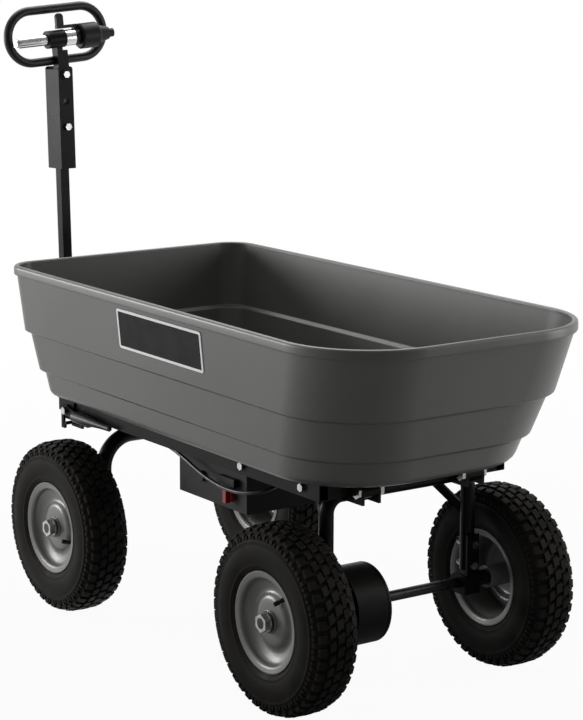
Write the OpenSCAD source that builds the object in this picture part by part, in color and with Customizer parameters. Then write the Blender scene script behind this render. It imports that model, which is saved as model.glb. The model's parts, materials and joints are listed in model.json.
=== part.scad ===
/* [Wheels] */
// Outer diameter of a tyre over its lugs
tyre_d = 330; // [316:2:350]
// Width of a tyre across its sidewalls
tyre_w = 93; // [86:1:100]
// Diameter of the rim over its flanges
rim_d = 176; // [168:2:184]
// Height of the tread lugs
lug_h = 6; // [4:0.5:8]
// Number of tread lugs in one row
lug_n = 42; // [24:2:48]
// Diameter of the axles
axle_d = 19; // [16:1:22]
// Distance between the front and the rear axle
wheelbase = 725; // [700:5:800]
// Distance between the mid-planes of a left and a right tyre
track = 470; // [464:2:500]

/* [Tub] */
// Length of the tub over its lip
tub_l = 1131; // [1100:1:1160]
// Width of the tub over its lip at the tail
tub_w = 578; // [560:2:596]
// How much wider each side of the tub is at the tail than in front
tub_flare = 15; // [0:1:20]
// Depth of the tub from the lip to the underside of the floor
tub_depth = 255; // [230:1:300]
// Thickness of the tub's wall and floor
tub_wall = 5; // [4:0.5:7]
// How far the rolled lip stands out from the wall
lip_out = 6; // [5:0.5:10]
// Height of the rolled lip
lip_h = 22; // [18:1:28]
// Height of the lower wall step above the floor's underside
low_step_h = 46; // [40:1:60]
// Height of the upper wall step above the floor's underside
high_step_h = 122; // [110:1:140]
// Distance that the tub reaches behind the rear axle
tub_tail = 238; // [225:1:250]
// Corner radius of the lip at the front of the tub
front_corner_r = 58; // [50:1:80]
// Corner radius of the lip at the rear of the tub
rear_corner_r = 165; // [140:1:180]

/* [Frame] */
// Gap between the top of a tyre and the frame rails
tyre_gap = 24; // [20:1:40]
// Height of the frame rails
rail_h = 18; // [16:1:24]
// Width of the frame rails
rail_w = 30; // [26:1:36]
// Distance of the frame rails' inner faces from the middle
rail_x = 105; // [100:1:110]
// Wall of the frame's tubes
tube_wall = 2; // [1.5:0.5:3]
// Diameter of the front axle's arched tube
front_tube_d = 30; // [26:1:32]
// Diameter of the rear axle's arched tube
rear_tube_d = 26; // [22:1:28]
// Distance of the arch legs from the middle
leg_x = 154; // [152:0.5:156]
// Height of the bed rails under the tub
bed_rail_h = 29; // [24:1:32]
// Width of the bed rails under the tub
bed_rail_w = 20; // [16:1:22]
// Distance of the bed rails' outer faces inside the tub's lip
bed_inset = 89; // [84:1:94]
// Distance of the tub's hinge behind the rear axle
hinge_back = 68; // [66:1:74]
// Diameter of the hinge pins
hinge_pin_d = 12; // [10:1:14]
// Diameter of the kingpin that the front axle steers on
kingpin_d = 16; // [12:1:18]

/* [Motor and battery] */
// Diameter of the hub motor's drum
motor_d = 140; // [120:2:150]
// Length of the hub motor's drum
motor_l = 65; // [55:1:75]
// Width of the battery box
box_w = 150; // [140:1:160]
// Length of the battery box
box_l = 220; // [200:2:240]
// Height of the battery box
box_h = 72; // [66:1:84]
// Diameter of the throttle lead
lead_d = 7; // [5:0.5:8]

/* [Handle] */
// Distance of the handle's pivot in front of the front axle
tongue_l = 395; // [370:5:420]
// Width of the drawbar and of the handle's eye
tongue_w = 30; // [28:1:36]
// Side of the square pull rod
rod_w = 20; // [18:1:24]
// Forward lean of the handle as it stands
handle_lean = 2.3; // [0:0.1:8]
// Length of the handle from its pivot to the top of the clevis
rod_l = 682; // [640:2:720]
// Length of the hitch clevis, a box of plates
clevis_l = 209; // [190:1:230]
// Width of the hitch clevis
clevis_w = 33.6; // [30:0.2:38]
// Depth of the hitch clevis
clevis_d = 54.4; // [48:0.2:60]
// Thickness of a clevis plate
plate_t = 3; // [2.5:0.5:4]
// Diameter of the free hole for a hitch pin
hitch_hole_d = 13.2; // [11:0.2:14]
// Turn of the loop grip about its pivot bolt as it stands
grip_turn = 4; // [0:0.5:6]
// Width of the loop grip
loop_w = 240; // [220:2:260]
// Height of the loop grip
loop_h = 123; // [118:1:135]
// Diameter of the loop grip's tube
loop_tube_d = 18; // [16:1:20]
// Diameter of the throttle bar
bar_d = 22; // [20:1:24]
// Diameter of the throttle's drum
throttle_d = 52; // [46:1:54]

/* [Hidden] */
$fn = 48;
// Clearances: a running fit, a seat within one body, and air between bodies
run = 0.05;
seat = 0.02;
air = 0.5;
overrun = 1;

// Bolts and nuts
bolt_d = 8;
bolt_head_h = 6;
bolt_head_d = 13;

// Levels above the ground, worked up from the tyres
axle_z = tyre_d / 2;
rail_z = tyre_d + tyre_gap;
rail_top = rail_z + rail_h;
plate_h = 6;
front_arch_top = rail_z - 2 * plate_h - air;
front_arch_z = front_arch_top - front_tube_d / 2;
rear_arch_z = rail_z + 12;
bed_z = rail_top + air;
tub_z = bed_z + bed_rail_h;
hinge_z = bed_z + 10.5;
handle_z = front_arch_z;

// Places along the cart, before the origin is moved to its middle
rear_y = 327;
front_y = rear_y - wheelbase;
handle_y = front_y - tongue_l;
tub_rear = rear_y + tub_tail;
tub_front = tub_rear - tub_l;
hinge_y = rear_y + hinge_back;
rear_arch_y = rear_y + 8;
crossbar_w = 30;
latch_y = front_y - 47;

// The origin is on the ground under the middle of the whole cart
clevis_nut_h = 9;
top_bolt_z = rod_l - 16;
front_reach = handle_y - (top_bolt_z + bolt_head_d / 2) * sin(handle_lean)
  - (clevis_d / 2 + clevis_nut_h) * cos(handle_lean);
y_shift = -(front_reach + tub_rear) / 2;

// Shared shapes
module in_cart() { translate([0, y_shift, 0]) children(); }
module both_sides() { children(); mirror([1, 0, 0]) children(); }
module block(low, high) { translate(low) cube(high - low); }
module rod_x(d, x0, x1) { translate([x0, 0, 0]) rotate([0, 90, 0]) cylinder(d = d, h = x1 - x0); }
module rod_y(d, y0, y1) { translate([0, y0, 0]) rotate([-90, 0, 0]) cylinder(d = d, h = y1 - y0); }
module rod_z(d, z0, z1) { translate([0, 0, z0]) cylinder(d = d, h = z1 - z0); }
// A hexagon prism, given by its size across the flats
module hex_prism(across, h) { cylinder(d = across / cos(30), h = h, $fn = 6); }
module hex_x(across, x0, x1) { translate([x0, 0, 0]) rotate([0, 90, 0]) hex_prism(across, x1 - x0); }
module hex_y(across, y0, y1) { translate([0, y0, 0]) rotate([-90, 0, 0]) hex_prism(across, y1 - y0); }
module hex_z(across, z0, z1) { translate([0, 0, z0]) hex_prism(across, z1 - z0); }
// A rectangular tube that runs along Y between two corners
module box_tube_y(low, high) {
  difference() {
    block(low, high);
    block([low.x + tube_wall, low.y - overrun, low.z + tube_wall],
          [high.x - tube_wall, high.y + overrun, high.z - tube_wall]);
  }
}
// A rectangular tube that runs along X between two corners
module box_tube_x(low, high) {
  difference() {
    block(low, high);
    block([low.x - overrun, low.y + tube_wall, low.z + tube_wall],
          [high.x + overrun, high.y - tube_wall, high.z - tube_wall]);
  }
}

// Tub: a loft through rounded rectangles, up the outside, over the lip and down the inside
// Drafts are inset per height, given for the band under the lip and for the bands under the upper step
side_draft = [0.10, 0.16];
front_draft = [0.08, 0.16];
rear_draft = [0.32, 0.39];
side_step = 7.5;
front_step = 8;
rear_step = 7;
step_rise = 7;
foot_r = 14;
foot_mid = foot_r * (1 - cos(45));
corner_n = 8;
lip_edge = 4;
wall_top_h = tub_depth - lip_h;
band_h = high_step_h + step_rise;
flare_a = atan(tub_flare / tub_l);
// Steps passed on the way down from the lip to a height above the floor's underside
function step_share(h, foot) = max(0, min(1, (foot + step_rise - h) / step_rise));
function steps_at(h) = step_share(h, low_step_h) + step_share(h, high_step_h);
// Inset of a wall from the lip's foot at a height
function wall_inset(h, draft, step) = draft[0] * (wall_top_h - max(band_h, min(h, wall_top_h)))
  + draft[1] * (band_h - min(h, band_h)) + step * steps_at(h);
function corner(cx, cy, r, from, to) = [for (i = [0:corner_n]) let (a = from + (to - from) * i / corner_n)
  [cx + r * cos(a), cy + r * sin(a)]];
// Outline of the tub at a height, grown outwards by grow: flared sides between four rounded corners
function tub_outline(h, grow) = let (
  f = tub_front + lip_out + wall_inset(h, front_draft, front_step) - grow,
  b = tub_rear - lip_out - wall_inset(h, rear_draft, rear_step) + grow,
  rf = front_corner_r - lip_out + grow,
  rb = rear_corner_r - lip_out + grow,
  w = tub_w / 2 - lip_out - wall_inset(h, side_draft, side_step) + grow,
  xf = w - (tub_rear - f - rf) * tan(flare_a) - rf / cos(flare_a),
  xb = w - (tub_rear - b + rb) * tan(flare_a) - rb / cos(flare_a))
  concat(corner(xb, b - rb, rb, -flare_a, 90), corner(-xb, b - rb, rb, 90, 180 + flare_a),
         corner(-xf, f + rf, rf, 180 + flare_a, 270), corner(xf, f + rf, rf, 270, 360 - flare_a));
function tub_ring(h, grow, z) = [for (p = tub_outline(h, grow)) [p[0], p[1], tub_z + z]];
step_edges = [low_step_h, low_step_h + step_rise, high_step_h, high_step_h + step_rise];
tub_rings = concat(
  [tub_ring(0, -foot_r, 0), tub_ring(foot_mid, -foot_mid, foot_mid), tub_ring(foot_r, 0, foot_r)],
  [for (h = step_edges) tub_ring(h, 0, h)],
  [tub_ring(tub_depth, 0, wall_top_h), tub_ring(tub_depth, lip_out, wall_top_h + 1),
   tub_ring(tub_depth, lip_out, tub_depth - lip_edge), tub_ring(tub_depth, lip_out - lip_edge, tub_depth),
   tub_ring(tub_depth, -1, tub_depth), tub_ring(tub_depth, -tub_wall, tub_depth - lip_edge)],
  [for (i = [3:-1:0]) tub_ring(step_edges[i], -tub_wall, step_edges[i])],
  [tub_ring(foot_r, -tub_wall, tub_wall + foot_r),
   tub_ring(foot_mid, -tub_wall - foot_mid, tub_wall + foot_mid),
   tub_ring(0, -tub_wall - foot_r, tub_wall)]);
// Triangles of a closed skin through rings of equal length
function skin_faces(rings) = let (n = len(rings[0]), m = len(rings)) concat(
  [[for (j = [0:n - 1]) j]],
  [for (i = [0:m - 2], j = [0:n - 1], k = [0, 1]) let (a = i * n + j, b = i * n + (j + 1) % n)
    k == 0 ? [a, a + n, b + n] : [a, b + n, b]],
  [[for (j = [n - 1:-1:0]) (m - 1) * n + j]]);
module skin(rings) { polyhedron([for (r = rings) each r], skin_faces(rings)); }

bed_rail_out = tub_w / 2 - bed_inset;
bed_rail_in = bed_rail_out - bed_rail_w;
bed_rail_front = front_y - 90;
bed_rear_y = hinge_y - 17;
bed_bar_w = 20;
// Carriage bolts whose heads are sunk in the tub's floor, kept inside both the rails and the floor
floor_bolt_d = 8;
floor_head_d = 2.2 * floor_bolt_d;
floor_head_h = 0.5 * tub_wall;
floor_bolt_in = 13;
floor_bolt_front = max(bed_rail_front + 60, tub_front + 120);
floor_bolt_rear = rear_y - 110;
floor_bolt_ys = [floor_bolt_front, (floor_bolt_front + floor_bolt_rear) / 2, floor_bolt_rear];
module at_floor_bolts() {
  both_sides() for (y = floor_bolt_ys) translate([bed_rail_out - floor_bolt_in, y, 0]) children();
}
module tub() {
  floor_top = tub_z + tub_wall;
  color("dimgray") in_cart() difference() {
    skin(tub_rings);
    at_floor_bolts() {
      rod_z(floor_bolt_d + 2 * seat, tub_z - overrun, floor_top + overrun);
      rod_z(floor_head_d + 2 * seat, floor_top - floor_head_h, floor_top + overrun);
    }
  }
}
module floor_bolts() {
  head_z = tub_z + tub_wall - floor_head_h;
  color("gray") in_cart() at_floor_bolts() {
    rod_z(floor_bolt_d, bed_z + tube_wall + air, head_z);
    rod_z(floor_head_d, head_z, head_z + floor_head_h - seat);
  }
}

// Bed frame under the tub, with bolts through the rails ahead of the rear axle and over it
bed_bolt_front = 177;
bed_bolt_rear = 3;
bed_bolt_ys = [rear_y - bed_bolt_front, rear_y + bed_bolt_rear];
bed_bolt_z = bed_z + 0.55 * bed_rail_h;
module at_bed_bolts() {
  both_sides() for (y = bed_bolt_ys) translate([0, y, bed_bolt_z]) children();
}
module bed_rails() {
  color("black") in_cart() difference() {
    both_sides() box_tube_y([bed_rail_in, bed_rail_front, bed_z], [bed_rail_out, bed_rear_y, tub_z]);
    at_floor_bolts() rod_z(floor_bolt_d + 2 * seat, tub_z - tube_wall - overrun, tub_z + overrun);
    at_bed_bolts() rod_x(bolt_d + 2 * seat, bed_rail_in - overrun, bed_rail_out + overrun);
    latch_axis() rod_x(bolt_d + 2 * seat, bed_rail_in - overrun, bed_rail_out + overrun);
  }
}
module bed_bolts() {
  color("silver") in_cart() {
    at_bed_bolts() {
      rod_x(bolt_d, bed_rail_in, bed_rail_out);
      hex_x(bolt_head_d, bed_rail_out, bed_rail_out + bolt_head_h);
    }
    latch_axis() {
      rod_x(bolt_d, bed_rail_in, latch_x + latch_t + air);
      hex_x(bolt_head_d, latch_x + latch_t + air, latch_x + latch_t + air + bolt_head_h);
    }
  }
}
module bed_crossbars() {
  color("black") in_cart() {
    for (y = [bed_rail_front + 15, bed_rear_y - bed_bar_w])
      box_tube_x([-bed_rail_in, y, bed_z], [bed_rail_in, y + bed_bar_w, tub_z]);
  }
}

// Hinge between the bed and the frame
lug_in = 98;
lug_out = 126;
ear_t = 5;
hinge_r = 11;
module at_hinge() { translate([0, hinge_y, hinge_z]) children(); }
module hinge_lugs() {
  color("black") in_cart() both_sides() difference() {
    union() {
      block([lug_in, bed_rear_y, hinge_z - 9], [lug_out, hinge_y, hinge_z + 9]);
      at_hinge() rod_x(2 * hinge_r, lug_in, lug_out);
    }
    at_hinge() rod_x(hinge_pin_d + 2 * run, lug_in - overrun, lug_out + overrun);
  }
}
module hinge_brackets() {
  ear_xs = [lug_in - air - ear_t, lug_out + air];
  base_z = rear_arch_z - 4;
  color("black") in_cart() both_sides() difference() {
    union() {
      block([ear_xs[0], rear_arch_y, base_z], [ear_xs[1] + ear_t, hinge_y - hinge_r - 8, rail_top - 4]);
      for (x = ear_xs) {
        block([x, hinge_y - hinge_r - 8, base_z], [x + ear_t, hinge_y + hinge_r, rail_top - 4]);
        block([x, hinge_y - hinge_r, base_z], [x + ear_t, hinge_y + hinge_r, hinge_z]);
        at_hinge() rod_x(2 * hinge_r, x, x + ear_t);
      }
    }
    at_hinge() rod_x(hinge_pin_d + 2 * seat, ear_xs[0] - overrun, ear_xs[1] + ear_t + overrun);
    rear_arch_room();
  }
}
module hinge_pins() {
  low = lug_in - air - ear_t;
  high = lug_out + air + ear_t;
  color("silver") in_cart() both_sides() at_hinge() {
    rod_x(hinge_pin_d, low - 8, high);
    hex_x(19, high, high + bolt_head_h);
    hex_x(19, low - 8, low);
  }
}

// Tub latch: a hook lever on the bed that catches a pin on the frame
latch_z = bed_z + 6;
latch_bracket_t = 4;
latch_x = bed_rail_out + latch_bracket_t + 1;
latch_t = 5;
keeper_d = 7;
keeper_z = rail_z - 0.5;
keeper_plate = [bed_rail_in + 8, bed_rail_in + 13];
module latch_axis() { translate([0, latch_y, latch_z]) children(); }
module bed_brackets() {
  bottom = latch_z - 18;
  outer = bed_rail_out + latch_bracket_t;
  color("black") in_cart() difference() {
    both_sides() block([bed_rail_out, latch_y - 23, bottom], [outer, latch_y + 21, tub_z - 1]);
    latch_axis() rod_x(bolt_d + 2 * seat, bed_rail_out - overrun, outer + overrun);
  }
}
grip_l = 138;
grip_x = latch_x + 6.5;
grip_y = latch_y + 34;
grip_z = latch_z - 5;
tail_d = 7;
module latch_lever() {
  nose_gap = 1.1;
  nose_top = keeper_z - keeper_d / 2 - 1.5 - latch_z;
  nose_tip = -keeper_d / 2 - nose_gap;
  color("black") in_cart() {
    difference() {
      latch_axis() translate([latch_x, 0, 0]) rotate([90, 0, 90]) linear_extrude(latch_t) union() {
        circle(r = 11);
        polygon([[-17, 6], [-9, 10], [-9, nose_top], [nose_tip, nose_top],
                 [nose_tip - 1, nose_top - 6], [-17, nose_top - 6]]);
        polygon([[0, -11], [0, 11], [44, 0], [44, -10]]);
      }
      latch_axis() rod_x(bolt_d + 2 * run, latch_x - overrun, latch_x + latch_t + overrun);
    }
    translate([grip_x, 0, grip_z]) rod_y(tail_d, grip_y - 4, grip_y + grip_l - 8);
  }
}
// Moulded grip: a club that is thick in front and slim behind
module latch_grip() {
  front_r = 11;
  rear_r = 5;
  edge = 5;
  profile = [for (i = [0:10]) let (t = i / 10)
    [rear_r + (front_r - rear_r) * (0.5 + 0.5 * cos(180 * t)), edge + (grip_l - 2 * edge) * t]];
  front_edge = [[0, 0], [front_r - 3, 0]];
  rear_edge = [[rear_r - 3, grip_l], [0, grip_l]];
  color([0.1, 0.1, 0.1]) in_cart() translate([grip_x, grip_y, grip_z]) rotate([-90, 0, 0]) difference() {
    rotate_extrude() polygon(concat(front_edge, profile, rear_edge));
    translate([0, 0, -overrun]) cylinder(d = tail_d + 2 * seat, h = grip_l - 8 + overrun);
    translate([latch_x - grip_x - seat, -20, -overrun]) cube([latch_t + 2 * seat, 40, overrun + 10.2]);
  }
}
module latch_keeper() {
  color("black") in_cart() {
    block([keeper_plate[0], latch_y - keeper_d, keeper_z - 8],
          [keeper_plate[1], front_y - crossbar_w / 2, rail_top - 1]);
    translate([0, latch_y, keeper_z]) rod_x(keeper_d, keeper_plate[1], latch_x + latch_t + 1);
  }
}

// Frame: the front crossbar carries a flat turntable plate round the kingpin
crossbar_half = bed_rail_out - 2;
module chassis_rails() {
  color("black") in_cart() difference() {
    both_sides()
      box_tube_y([rail_x, front_y + crossbar_w / 2, rail_z], [rail_x + rail_w, rear_arch_y, rail_top]);
    rear_arch_room();
  }
}
module front_crossbar() {
  half = crossbar_w / 2;
  plate_half = rail_x + rail_w;
  plate_back = 2 * crossbar_w;
  color("black") in_cart() translate([0, front_y, 0]) difference() {
    union() {
      box_tube_x([-crossbar_half, -half, rail_z], [crossbar_half, half, rail_top]);
      block([-plate_half, -half, rail_z - plate_h], [plate_half, plate_back, rail_z]);
    }
    rod_z(kingpin_d + 2 * seat, rail_z - plate_h - overrun, rail_top + overrun);
  }
}
module mid_crossbar() {
  color("black") in_cart()
    box_tube_x([-rail_x, -crossbar_w - 5, rail_z], [rail_x, -5, rail_top]);
}
module kingpin() {
  nut_h = 12;
  foot = front_arch_z - front_tube_d / 2 - air;
  color("silver") in_cart() translate([0, front_y, 0]) {
    rod_z(kingpin_d, foot - nut_h, rail_top);
    hex_z(1.5 * kingpin_d, rail_top, rail_top + 9);
    hex_z(1.5 * kingpin_d, foot - nut_h, foot);
  }
}

// An arched tube: two legs, two bends and a straight top, in the XZ plane
module arch_line(d, x, top, bend, foot) {
  rod_x(d, bend - x, x - bend);
  both_sides() {
    translate([x - bend, 0, 0]) rotate([90, 0, 0]) translate([0, -bend, 0])
      rotate_extrude(angle = 90) translate([bend, 0]) circle(d = d);
    translate([x, 0, 0]) rod_z(d, foot - top, -bend);
  }
}
module arch(d, x, top, bend, foot, y) {
  translate([0, y, top]) difference() {
    arch_line(d, x, top, bend, foot);
    arch_line(d - 2 * tube_wall, x, top, bend, foot - overrun);
  }
}
rear_bend = 30;
rear_leg_foot = axle_z + 25;
hanger_in = rear_tube_d / 2 + 0.2;
hanger_t = 4;
hanger_bolt_zs = [axle_z + 35, axle_z + 73];
module at_hanger_bolts() {
  both_sides() for (z = hanger_bolt_zs) translate([leg_x, rear_arch_y, z]) children();
}
// Room for the rear arch in the pieces that are coped to it
module rear_arch_room() {
  translate([0, rear_arch_y, rear_arch_z])
    arch_line(rear_tube_d + 2 * seat, leg_x, rear_arch_z, rear_bend, rear_leg_foot);
}
module rear_arch() {
  color("black") in_cart() difference() {
    arch(rear_tube_d, leg_x, rear_arch_z, rear_bend, rear_leg_foot, rear_arch_y);
    at_hanger_bolts() rod_y(bolt_d + 2 * seat, -rear_tube_d, rear_tube_d);
  }
}
// Flat braces from the legs forward and up to the frame rails
module rear_braces() {
  brace_w = 16;
  low = [leg_x - 8, rear_arch_y - 10, rail_z - 52];
  high = [rail_x + rail_w / 2, rear_arch_y - 75, rail_z - 1];
  run_xy = norm([high.x - low.x, high.y - low.y]);
  run_l = norm(high - low);
  color("black") in_cart() both_sides() difference() {
    translate(low) rotate([0, 0, atan2(high.y - low.y, high.x - low.x)])
      rotate([0, -atan2(high.z - low.z, run_xy), 0])
      translate([-12, -3, -brace_w / 2]) cube([run_l + 40, 6, brace_w]);
    block([0, rear_arch_y - 200, rail_z], [leg_x + 50, rear_arch_y + 50, rail_top + 60]);
    translate([leg_x, rear_arch_y, 0]) rod_z(rear_tube_d + 2 * seat, 0, rear_arch_z);
  }
}
module axle_hangers() {
  back = rear_arch_y + hanger_in + hanger_t;
  half = hanger_in + hanger_t;
  eye_r = sleeve_d / 2 + hanger_t;
  high = hanger_bolt_zs[1] + 18;
  color("black") in_cart() difference() {
    both_sides() translate([leg_x, 0, 0]) {
      block([-rear_tube_d / 2, back - hanger_t, axle_z], [rear_tube_d / 2, back, high]);
      difference() {
        union() {
          block([-half, rear_y, axle_z - eye_r], [half, back, axle_z + eye_r]);
          translate([0, rear_y, axle_z]) rod_x(2 * eye_r, -half, half);
        }
        block([-hanger_in, rear_y - eye_r - overrun, axle_z - eye_r - overrun],
              [hanger_in, back - hanger_t, axle_z + eye_r + overrun]);
      }
    }
    at_hanger_bolts() rod_y(bolt_d + 2 * seat, 0, 2 * rear_tube_d);
    translate([0, rear_y, axle_z]) {
      rod_x(axle_d + 2 * seat, -leg_x - 50, 0);
      rod_x(sleeve_d + 2 * air, 0, leg_x + 50);
    }
  }
}
module hanger_bolts() {
  back = hanger_in + hanger_t;
  nut_y = rear_tube_d / 2 + 0.1;
  color("silver") in_cart() at_hanger_bolts() {
    rod_y(bolt_d, -nut_y - 8, back);
    hex_y(bolt_head_d, back, back + bolt_head_h);
    hex_y(bolt_head_d, -nut_y - 8, -nut_y);
  }
}

// Wheels, each drawn about its own mid-plane with +X outboard
hub_half = 32;
hub_d = 40;
bearing_d = 32;
bearing_w = 12;
bearing_lip = 1.7;
wheel_x = track / 2;
wheel_end = wheel_x + hub_half + 2;
sleeve_d = 28;
module at_wheel(side, y) {
  in_cart() translate([0, y, axle_z]) mirror([side < 0 ? 1 : 0, 0, 0]) translate([wheel_x, 0, 0]) children();
}
// Circle through three points of a profile, as n steps from the first to the last
function arc_through(a, b, c, n) = let (
  d = 2 * (a[0] * (b[1] - c[1]) + b[0] * (c[1] - a[1]) + c[0] * (a[1] - b[1])),
  m = [((a * a) * (b[1] - c[1]) + (b * b) * (c[1] - a[1]) + (c * c) * (a[1] - b[1])) / d,
       ((a * a) * (c[0] - b[0]) + (b * b) * (a[0] - c[0]) + (c * c) * (b[0] - a[0])) / d],
  r = norm(a - m), from = atan2(a[1] - m[1], a[0] - m[0]), to = atan2(c[1] - m[1], c[0] - m[0]))
  [for (i = [0:n]) let (t = from + (to - from) * i / n) m + r * [cos(t), sin(t)]];
function flip(points) = [for (i = [len(points) - 1:-1:0]) [points[i][0], -points[i][1]]];
function reversed(points) = [for (i = [len(points) - 1:-1:0]) points[i]];

bead_r = rim_d / 2 - 11;
half_w = tyre_w / 2;
crown_r = tyre_d / 2 - lug_h;
carcass_t = 6.5;
flange_x = 37;
flange_gap = 0.3;
belly_r = (bead_r + crown_r) / 2;
outer_wall = concat(
  [[bead_r + 2, flange_x - 0.8 - flange_gap], [rim_d / 2, flange_x + 0.5 - flange_gap]],
  arc_through([rim_d / 2 + 3, flange_x + 3], [belly_r + 2, half_w], [crown_r - 11, half_w - 7], 8),
  [[crown_r - 3, half_w - 15], [crown_r, half_w - 26]]);
inner_wall = concat(
  [[bead_r, flange_x - 13]],
  arc_through([bead_r + 7, flange_x - 7], [belly_r - 3, half_w - carcass_t],
              [crown_r - 17, half_w - 12.5], 6),
  [[crown_r - carcass_t - 3, half_w - 19], [crown_r - carcass_t, half_w - 28]]);
// One row of lugs round the tread, between two planes
module lug_row(x0, x1, root, top, phase) {
  pitch = 360 / lug_n;
  half = 0.34 * PI * tyre_d / lug_n;
  for (i = [0:lug_n - 1]) rotate([(i + phase) * pitch, 0, 0]) block([x0, -half, root], [x1, half, top]);
}
module tyre() {
  root = crown_r - carcass_t / 2;
  shoulder = half_w - 9;
  color([0.08, 0.08, 0.08]) union() {
    rotate([0, 90, 0]) rotate_extrude($fn = 96)
      polygon(concat([[bead_r, flange_x - 4]], outer_wall, flip(outer_wall), [[bead_r, 4 - flange_x]],
                     reversed(flip(inner_wall)), reversed(inner_wall)));
    lug_row(-8, 8, root, tyre_d / 2, 0);
    both_sides() {
      lug_row(10, 22, root, tyre_d / 2 - 1, 0.5);
      lug_row(25, shoulder, crown_r - 13, crown_r + 0.15 * lug_h, 0);
    }
  }
}
// Stamped steel rim: flanges, bead seats, a dropped well and a dished disc on a hub tube
module rim() {
  skin_t = 2.5;
  flange_r = rim_d / 2;
  well_r = bead_r - 7;
  out_line = [[flange_r, flange_x + 3], [flange_r, flange_x + 0.5], [bead_r + 2, flange_x - 0.8],
              [bead_r - seat, flange_x - 3.5], [bead_r - seat, 19], [well_r, 13]];
  in_line = [[flange_r - skin_t, flange_x + 3], [bead_r - 0.5, flange_x + 1.5],
             [bead_r - skin_t, flange_x - 3], [bead_r - skin_t, 19.6], [well_r - skin_t, 13.6]];
  disc = [[well_r - 1, 16], [62, 11], [52, 11], [46, 17], [30, 19], [hub_d / 2 - 1, 19]];
  color("gray") rotate([0, 90, 0]) difference() {
    union() {
      rotate_extrude($fn = 96)
        polygon(concat(out_line, flip(out_line), reversed(flip(in_line)), reversed(in_line)));
      rotate_extrude($fn = 96) polygon(concat(disc, [for (p = reversed(disc)) [p[0], p[1] - 3.2]]));
      translate([0, 0, -hub_half]) cylinder(d = hub_d, h = 2 * hub_half);
    }
    translate([0, 0, -hub_half - overrun]) cylinder(d = axle_d + 6, h = 2 * hub_half + 2 * overrun);
    for (x = [-hub_half - overrun, hub_half - bearing_w]) translate([0, 0, x])
      cylinder(d = bearing_d + 2 * seat, h = bearing_w + overrun);
  }
}
module bearings() {
  color("silver") both_sides() difference() {
    union() {
      rod_x(bearing_d, hub_half - bearing_w, hub_half + bearing_lip);
      rod_x(bearing_d + 5, hub_half, hub_half + bearing_lip);
    }
    rod_x(axle_d + 2 * run, 0, hub_half + 2 * bearing_w);
  }
}
module tyre_fl() { at_wheel(1, front_y) tyre(); }
module tyre_fr() { at_wheel(-1, front_y) tyre(); }
module tyre_rl() { at_wheel(1, rear_y) tyre(); }
module tyre_rr() { at_wheel(-1, rear_y) tyre(); }
module rim_fl() { at_wheel(1, front_y) rim(); }
module rim_fr() { at_wheel(-1, front_y) rim(); }
module rim_rl() { at_wheel(1, rear_y) rim(); }
module rim_rr() { at_wheel(-1, rear_y) rim(); }
module bearings_fl() { at_wheel(1, front_y) bearings(); }
module bearings_fr() { at_wheel(-1, front_y) bearings(); }
module bearings_rl() { at_wheel(1, rear_y) bearings(); }
module bearings_rr() { at_wheel(-1, rear_y) bearings(); }

// Nut and washer on the outer end of an axle
axle_nut_h = 12;
axle_end = wheel_end + 2 + axle_nut_h;
module axle_nut() {
  color("silver") difference() {
    union() {
      rod_x(axle_d + 13, wheel_end, wheel_end + 2);
      hex_x(1.5 * axle_d, wheel_end + 2, axle_end);
    }
    rod_x(axle_d + 2 * seat, wheel_end - overrun, axle_end + overrun);
  }
}
spacer_d = axle_d + 9;
spacer_end = wheel_x - hub_half - 2;
module rear_axle() {
  color([0.15, 0.15, 0.15]) in_cart() translate([0, rear_y, axle_z]) {
    rod_x(axle_d, -axle_end, axle_end);
    rod_x(spacer_d, -spacer_end, -leg_x - hanger_in - hanger_t);
  }
}
module rear_axle_nuts() { in_cart() translate([0, rear_y, axle_z]) both_sides() axle_nut(); }
module front_stub_axles() {
  color("silver") in_cart() translate([0, front_y, axle_z]) both_sides() {
    rod_x(axle_d, leg_x - front_tube_d / 2 - 4, axle_end);
    difference() {
      rod_x(spacer_d, leg_x, spacer_end);
      translate([leg_x, 0, 0]) rod_z(front_tube_d + 2 * seat, -spacer_d, spacer_d);
    }
  }
}
module front_axle_nuts() { in_cart() translate([0, front_y, axle_z]) both_sides() axle_nut(); }

// Drive: a drum motor on the rear axle that turns the left wheel through a sleeve
motor_x = leg_x - hanger_in - hanger_t - 14;
motor_plate_t = 6;
motor_bolt_r = motor_d / 2 - 10;
motor_bolt_d = 7;
motor_bolt_n = 6;
sleeve_x = motor_x - motor_l + 18;
module at_motor_bolts() {
  for (i = [0:motor_bolt_n - 1])
    rotate([360 / motor_bolt_n * i + 15, 0, 0]) translate([0, 0, motor_bolt_r]) children();
}
module drive_sleeve() {
  color("silver") in_cart() translate([0, rear_y, axle_z]) difference() {
    union() {
      rod_x(sleeve_d, sleeve_x + air, wheel_x - hub_half - bearing_lip);
      rod_x(hub_d, wheel_x - hub_half - 8, wheel_x - hub_half - bearing_lip);
    }
    rod_x(axle_d + 2 * run, 0, wheel_x);
  }
}
module motor_housing() {
  edge = 5;
  r = motor_d / 2;
  color([0.1, 0.1, 0.1]) in_cart() translate([0, rear_y, axle_z]) difference() {
    translate([motor_x - motor_l, 0, 0]) rotate([0, 90, 0])
      rotate_extrude($fn = 96)
      polygon([[0, 0], [r - edge, 0], [r - 1.5, 1.5], [r, edge], [r, motor_l], [0, motor_l]]);
    rod_x(axle_d + 2 * seat, 0, motor_x + overrun);
    rod_x(sleeve_d + 2 * air, sleeve_x, motor_x + overrun);
    at_motor_bolts() rod_x(motor_bolt_d + 2 * seat, motor_x - 20, motor_x + overrun);
  }
}
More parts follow.
